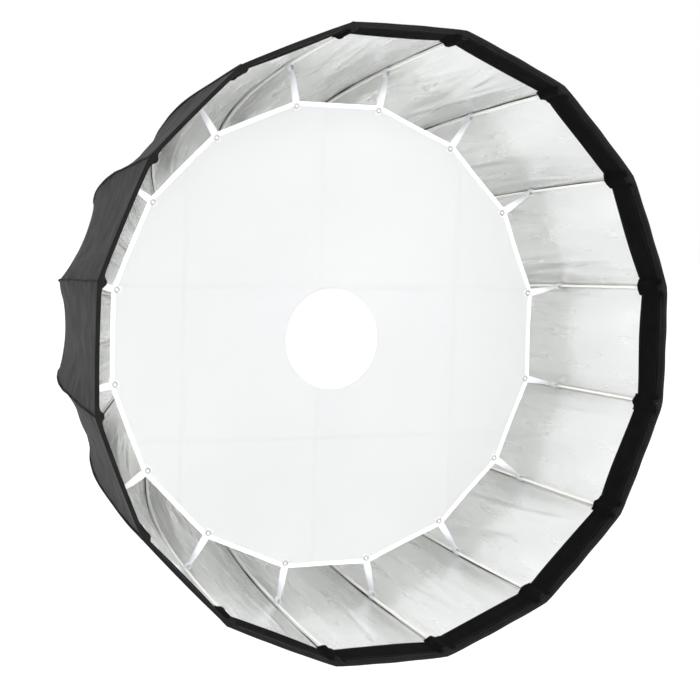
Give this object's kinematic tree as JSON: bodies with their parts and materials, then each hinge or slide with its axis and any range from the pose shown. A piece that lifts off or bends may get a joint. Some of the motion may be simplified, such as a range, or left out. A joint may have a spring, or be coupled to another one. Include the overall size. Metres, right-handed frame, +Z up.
{
  "type": "parabolic softbox",
  "caption": "Deep parabolic softbox: a ribbed, silver-lined fabric shade on a bayonet ring, with an inner diffuser strapped to its ribs; it folds forward like an umbrella.",
  "frame": {"origin": "centre of the bayonet insert's mounting plane, the face that meets the light", "axes": "+Y along the optical axis, from the mouth towards the light; +Z up; +X to the right seen from the front"},
  "size_m": [0.8828, 0.753, 0.8828],
  "materials": {
    "black_anodised": "satin black anodised",
    "black_moulded": "matt black moulded nylon",
    "spring_steel": "drawn spring wire",
    "black_elastic": "matt black knitted elastic",
    "skin_black": "matt black coated nylon outside",
    "lining_silver": "silver laminated lining with soft creases",
    "lip_black": "black hook-and-loop band",
    "diffusion_white": "white translucent diffusion cloth",
    "strap_white": "white woven elastic",
    "rod_white": "off-white glass-fibre rod, satin",
    "eyelet_grey": "dull grey metal eyelet"
  },
  "bodies": {
    "mount": {"bayonet_insert": "black_anodised", "ring_nut": "black_anodised"},
    "hub": {"hub_ring": "black_moulded", "hub_cover": "black_moulded", "hinge_wire": "spring_steel", "rear_cuff": "black_elastic", "inner_diffuser": "diffusion_white", "centre_patch": "diffusion_white"},
    "clamp_screw": {"clamp_screw": "black_moulded"},
    "rib_01": {"rib_01": "rod_white", "strap_01": "strap_white"},
    "rib_02": {"rib_02": "rod_white", "strap_02": "strap_white"},
    "rib_03": {"rib_03": "rod_white", "strap_03": "strap_white"},
    "rib_04": {"rib_04": "rod_white", "strap_04": "strap_white"},
    "rib_05": {"rib_05": "rod_white", "strap_05": "strap_white"},
    "rib_06": {"rib_06": "rod_white", "strap_06": "strap_white"},
    "rib_07": {"rib_07": "rod_white", "strap_07": "strap_white"},
    "rib_08": {"rib_08": "rod_white", "strap_08": "strap_white"},
    "rib_09": {"rib_09": "rod_white", "strap_09": "strap_white"},
    "rib_10": {"rib_10": "rod_white", "strap_10": "strap_white"},
    "rib_11": {"rib_11": "rod_white", "strap_11": "strap_white"},
    "rib_12": {"rib_12": "rod_white", "strap_12": "strap_white"},
    "rib_13": {"rib_13": "rod_white", "strap_13": "strap_white"},
    "rib_14": {"rib_14": "rod_white", "strap_14": "strap_white"},
    "rib_15": {"rib_15": "rod_white", "strap_15": "strap_white"},
    "rib_16": {"rib_16": "rod_white", "strap_16": "strap_white"},
    "gore_01": {"gore_01": "skin_black"},
    "gore_02": {"gore_02": "skin_black"},
    "gore_03": {"gore_03": "skin_black"},
    "gore_04": {"gore_04": "skin_black"},
    "gore_05": {"gore_05": "skin_black"},
    "gore_06": {"gore_06": "skin_black"},
    "gore_07": {"gore_07": "skin_black"},
    "gore_08": {"gore_08": "skin_black"},
    "gore_09": {"gore_09": "skin_black"},
    "gore_10": {"gore_10": "skin_black"},
    "gore_11": {"gore_11": "skin_black"},
    "gore_12": {"gore_12": "skin_black"},
    "gore_13": {"gore_13": "skin_black"},
    "gore_14": {"gore_14": "skin_black"},
    "gore_15": {"gore_15": "skin_black"},
    "gore_16": {"gore_16": "skin_black"}
  },
  "joints": [
    {"name": "hub_turn", "type": "hinge", "parent": "mount", "child": "hub", "pos_m": [0, 0, 0], "axis": [0, 1, 0], "continuous": true},
    {"name": "clamp_screw_turn", "type": "hinge", "parent": "hub", "child": "clamp_screw", "pos_m": [0, -0.00435, -0.1], "axis": [0, 0, -1], "range_deg": [0, 360]},
    {"name": "rib_01_fold", "type": "hinge", "parent": "hub", "child": "rib_01", "pos_m": [-0.01483, -0.02, 0.07454], "axis": [0.9808, 0, 0.1951], "range_deg": [0, 27], "deforming": ["inner_diffuser", "centre_patch", "gore_01", "gore_02", "gore_03", "gore_04", "gore_05", "gore_06", "gore_07", "gore_08", "gore_09", "gore_10", "gore_11", "gore_12", "gore_13", "gore_14", "gore_15", "gore_16"]},
    {"name": "rib_02_fold", "type": "hinge", "parent": "hub", "child": "rib_02", "pos_m": [0.01483, -0.02, 0.07454], "axis": [0.9808, 0, -0.1951], "range_deg": [0, 27]},
    {"name": "rib_03_fold", "type": "hinge", "parent": "hub", "child": "rib_03", "pos_m": [0.04222, -0.02, 0.06319], "axis": [0.8315, 0, -0.5556], "range_deg": [0, 27]},
    {"name": "rib_04_fold", "type": "hinge", "parent": "hub", "child": "rib_04", "pos_m": [0.06319, -0.02, 0.04222], "axis": [0.5556, 0, -0.8315], "range_deg": [0, 27]},
    {"name": "rib_05_fold", "type": "hinge", "parent": "hub", "child": "rib_05", "pos_m": [0.07454, -0.02, 0.01483], "axis": [0.1951, 0, -0.9808], "range_deg": [0, 27]},
    {"name": "rib_06_fold", "type": "hinge", "parent": "hub", "child": "rib_06", "pos_m": [0.07454, -0.02, -0.01483], "axis": [-0.1951, 0, -0.9808], "range_deg": [0, 27]},
    {"name": "rib_07_fold", "type": "hinge", "parent": "hub", "child": "rib_07", "pos_m": [0.06319, -0.02, -0.04222], "axis": [-0.5556, 0, -0.8315], "range_deg": [0, 27]},
    {"name": "rib_08_fold", "type": "hinge", "parent": "hub", "child": "rib_08", "pos_m": [0.04222, -0.02, -0.06319], "axis": [-0.8315, 0, -0.5556], "range_deg": [0, 27]},
    {"name": "rib_09_fold", "type": "hinge", "parent": "hub", "child": "rib_09", "pos_m": [0.01483, -0.02, -0.07454], "axis": [-0.9808, 0, -0.1951], "range_deg": [0, 27]},
    {"name": "rib_10_fold", "type": "hinge", "parent": "hub", "child": "rib_10", "pos_m": [-0.01483, -0.02, -0.07454], "axis": [-0.9808, 0, 0.1951], "range_deg": [0, 27]},
    {"name": "rib_11_fold", "type": "hinge", "parent": "hub", "child": "rib_11", "pos_m": [-0.04222, -0.02, -0.06319], "axis": [-0.8315, 0, 0.5556], "range_deg": [0, 27]},
    {"name": "rib_12_fold", "type": "hinge", "parent": "hub", "child": "rib_12", "pos_m": [-0.06319, -0.02, -0.04222], "axis": [-0.5556, 0, 0.8315], "range_deg": [0, 27]},
    {"name": "rib_13_fold", "type": "hinge", "parent": "hub", "child": "rib_13", "pos_m": [-0.07454, -0.02, -0.01483], "axis": [-0.1951, 0, 0.9808], "range_deg": [0, 27]},
    {"name": "rib_14_fold", "type": "hinge", "parent": "hub", "child": "rib_14", "pos_m": [-0.07454, -0.02, 0.01483], "axis": [0.1951, 0, 0.9808], "range_deg": [0, 27]},
    {"name": "rib_15_fold", "type": "hinge", "parent": "hub", "child": "rib_15", "pos_m": [-0.06319, -0.02, 0.04222], "axis": [0.5556, 0, 0.8315], "range_deg": [0, 27]},
    {"name": "rib_16_fold", "type": "hinge", "parent": "hub", "child": "rib_16", "pos_m": [-0.04222, -0.02, 0.06319], "axis": [0.8315, 0, 0.5556], "range_deg": [0, 27]},
    {"name": "gore_01_pleat", "type": "hinge", "parent": "rib_01", "child": "gore_01", "pos_m": [0, -0.02, 0.07749], "axis": [0, -0.2292, -0.9734], "range_deg": [0, 10.45]},
    {"name": "gore_02_pleat", "type": "hinge", "parent": "rib_02", "child": "gore_02", "pos_m": [0.02965, -0.02, 0.07159], "axis": [-0.3725, -0.2292, -0.8993], "range_deg": [0, 10.45]},
    {"name": "gore_03_pleat", "type": "hinge", "parent": "rib_03", "child": "gore_03", "pos_m": [0.05479, -0.02, 0.05479], "axis": [-0.6883, -0.2292, -0.6883], "range_deg": [0, 10.45]},
    {"name": "gore_04_pleat", "type": "hinge", "parent": "rib_04", "child": "gore_04", "pos_m": [0.07159, -0.02, 0.02965], "axis": [-0.8993, -0.2292, -0.3725], "range_deg": [0, 10.45]},
    {"name": "gore_05_pleat", "type": "hinge", "parent": "rib_05", "child": "gore_05", "pos_m": [0.07749, -0.02, 0], "axis": [-0.9734, -0.2292, 0], "range_deg": [0, 10.45]},
    {"name": "gore_06_pleat", "type": "hinge", "parent": "rib_06", "child": "gore_06", "pos_m": [0.07159, -0.02, -0.02965], "axis": [-0.8993, -0.2292, 0.3725], "range_deg": [0, 10.45]},
    {"name": "gore_07_pleat", "type": "hinge", "parent": "rib_07", "child": "gore_07", "pos_m": [0.05479, -0.02, -0.05479], "axis": [-0.6883, -0.2292, 0.6883], "range_deg": [0, 10.45]},
    {"name": "gore_08_pleat", "type": "hinge", "parent": "rib_08", "child": "gore_08", "pos_m": [0.02965, -0.02, -0.07159], "axis": [-0.3725, -0.2292, 0.8993], "range_deg": [0, 10.45]},
    {"name": "gore_09_pleat", "type": "hinge", "parent": "rib_09", "child": "gore_09", "pos_m": [0, -0.02, -0.07749], "axis": [0, -0.2292, 0.9734], "range_deg": [0, 10.45]},
    {"name": "gore_10_pleat", "type": "hinge", "parent": "rib_10", "child": "gore_10", "pos_m": [-0.02965, -0.02, -0.07159], "axis": [0.3725, -0.2292, 0.8993], "range_deg": [0, 10.45]},
    {"name": "gore_11_pleat", "type": "hinge", "parent": "rib_11", "child": "gore_11", "pos_m": [-0.05479, -0.02, -0.05479], "axis": [0.6883, -0.2292, 0.6883], "range_deg": [0, 10.45]},
    {"name": "gore_12_pleat", "type": "hinge", "parent": "rib_12", "child": "gore_12", "pos_m": [-0.07159, -0.02, -0.02965], "axis": [0.8993, -0.2292, 0.3725], "range_deg": [0, 10.45]},
    {"name": "gore_13_pleat", "type": "hinge", "parent": "rib_13", "child": "gore_13", "pos_m": [-0.07749, -0.02, 0], "axis": [0.9734, -0.2292, 0], "range_deg": [0, 10.45]},
    {"name": "gore_14_pleat", "type": "hinge", "parent": "rib_14", "child": "gore_14", "pos_m": [-0.07159, -0.02, 0.02965], "axis": [0.8993, -0.2292, -0.3725], "range_deg": [0, 10.45]},
    {"name": "gore_15_pleat", "type": "hinge", "parent": "rib_15", "child": "gore_15", "pos_m": [-0.05479, -0.02, 0.05479], "axis": [0.6883, -0.2292, -0.6883], "range_deg": [0, 10.45]},
    {"name": "gore_16_pleat", "type": "hinge", "parent": "rib_16", "child": "gore_16", "pos_m": [-0.02965, -0.02, 0.07159], "axis": [0.3725, -0.2292, -0.8993], "range_deg": [0, 10.45]}
  ],
  "couplings": [
    {"joint": "rib_02_fold", "follows": "rib_01_fold", "ratio": 1},
    {"joint": "rib_03_fold", "follows": "rib_01_fold", "ratio": 1},
    {"joint": "rib_04_fold", "follows": "rib_01_fold", "ratio": 1},
    {"joint": "rib_05_fold", "follows": "rib_01_fold", "ratio": 1},
    {"joint": "rib_06_fold", "follows": "rib_01_fold", "ratio": 1},
    {"joint": "rib_07_fold", "follows": "rib_01_fold", "ratio": 1},
    {"joint": "rib_08_fold", "follows": "rib_01_fold", "ratio": 1},
    {"joint": "rib_09_fold", "follows": "rib_01_fold", "ratio": 1},
    {"joint": "rib_10_fold", "follows": "rib_01_fold", "ratio": 1},
    {"joint": "rib_11_fold", "follows": "rib_01_fold", "ratio": 1},
    {"joint": "rib_12_fold", "follows": "rib_01_fold", "ratio": 1},
    {"joint": "rib_13_fold", "follows": "rib_01_fold", "ratio": 1},
    {"joint": "rib_14_fold", "follows": "rib_01_fold", "ratio": 1},
    {"joint": "rib_15_fold", "follows": "rib_01_fold", "ratio": 1},
    {"joint": "rib_16_fold", "follows": "rib_01_fold", "ratio": 1},
    {"joint": "gore_01_pleat", "follows": "rib_01_fold", "ratio": 0.38671},
    {"joint": "gore_02_pleat", "follows": "rib_01_fold", "ratio": 0.38671},
    {"joint": "gore_03_pleat", "follows": "rib_01_fold", "ratio": 0.38671},
    {"joint": "gore_04_pleat", "follows": "rib_01_fold", "ratio": 0.38671},
    {"joint": "gore_05_pleat", "follows": "rib_01_fold", "ratio": 0.38671},
    {"joint": "gore_06_pleat", "follows": "rib_01_fold", "ratio": 0.38671},
    {"joint": "gore_07_pleat", "follows": "rib_01_fold", "ratio": 0.38671},
    {"joint": "gore_08_pleat", "follows": "rib_01_fold", "ratio": 0.38671},
    {"joint": "gore_09_pleat", "follows": "rib_01_fold", "ratio": 0.38671},
    {"joint": "gore_10_pleat", "follows": "rib_01_fold", "ratio": 0.38671},
    {"joint": "gore_11_pleat", "follows": "rib_01_fold", "ratio": 0.38671},
    {"joint": "gore_12_pleat", "follows": "rib_01_fold", "ratio": 0.38671},
    {"joint": "gore_13_pleat", "follows": "rib_01_fold", "ratio": 0.38671},
    {"joint": "gore_14_pleat", "follows": "rib_01_fold", "ratio": 0.38671},
    {"joint": "gore_15_pleat", "follows": "rib_01_fold", "ratio": 0.38671},
    {"joint": "gore_16_pleat", "follows": "rib_01_fold", "ratio": 0.38671}
  ]
}
